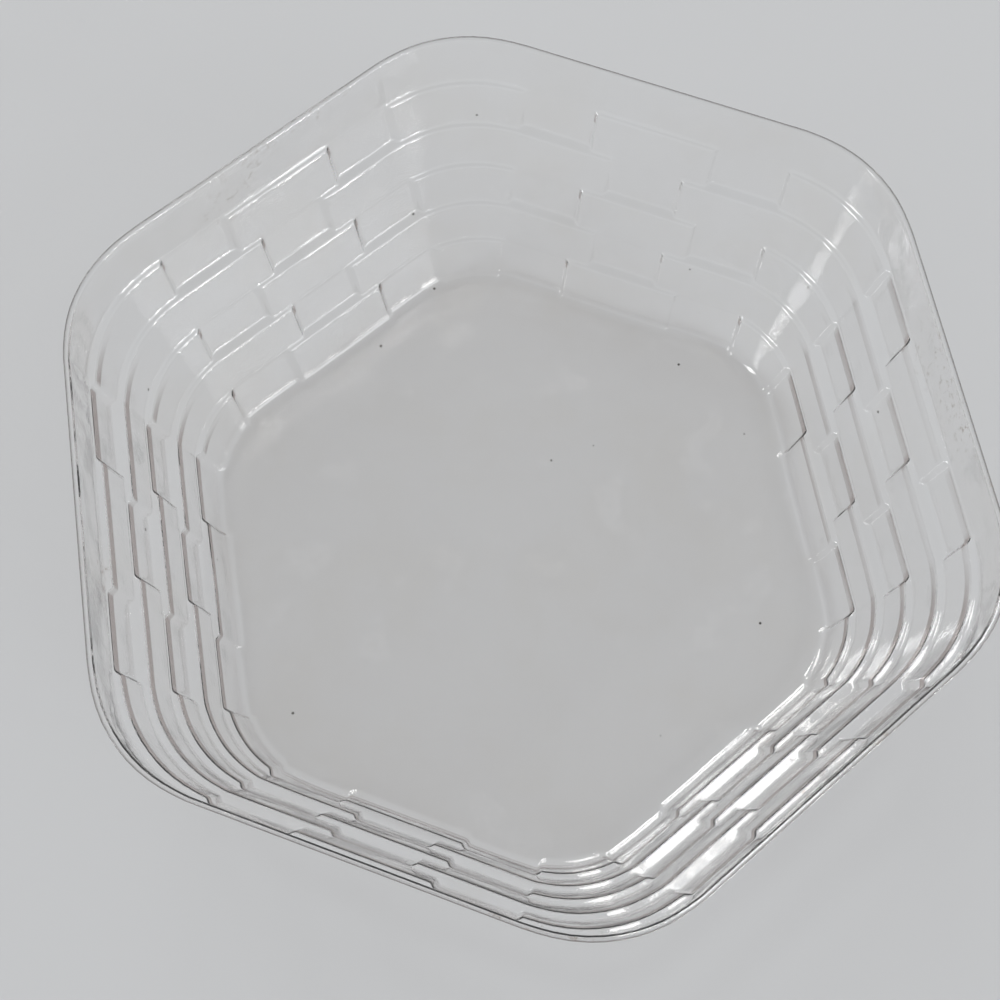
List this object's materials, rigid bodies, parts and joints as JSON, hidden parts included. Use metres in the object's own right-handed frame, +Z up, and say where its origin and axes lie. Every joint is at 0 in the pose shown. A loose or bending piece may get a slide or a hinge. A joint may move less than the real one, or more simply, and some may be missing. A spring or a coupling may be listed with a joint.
{
  "type": "hexagonal basket tray",
  "caption": "Deep hexagonal tray of clear formed plastic with rounded corners, a turned-out lip and a basket-weave relief wall, for holding fruit or baked goods.",
  "frame": {"origin": "middle of the flat underside of the floor, on the surface that the tray stands on", "axes": "+Z up through the open top; +X through a rounded corner; +Y square to a side of the hexagon"},
  "size_m": [0.2972, 0.27, 0.104],
  "materials": {
    "clear_sheet": "clear glossy thermoformed sheet with faint handling scuffs"
  },
  "bodies": {
    "root": {"basket_shell": "clear_sheet"}
  },
  "joints": []
}
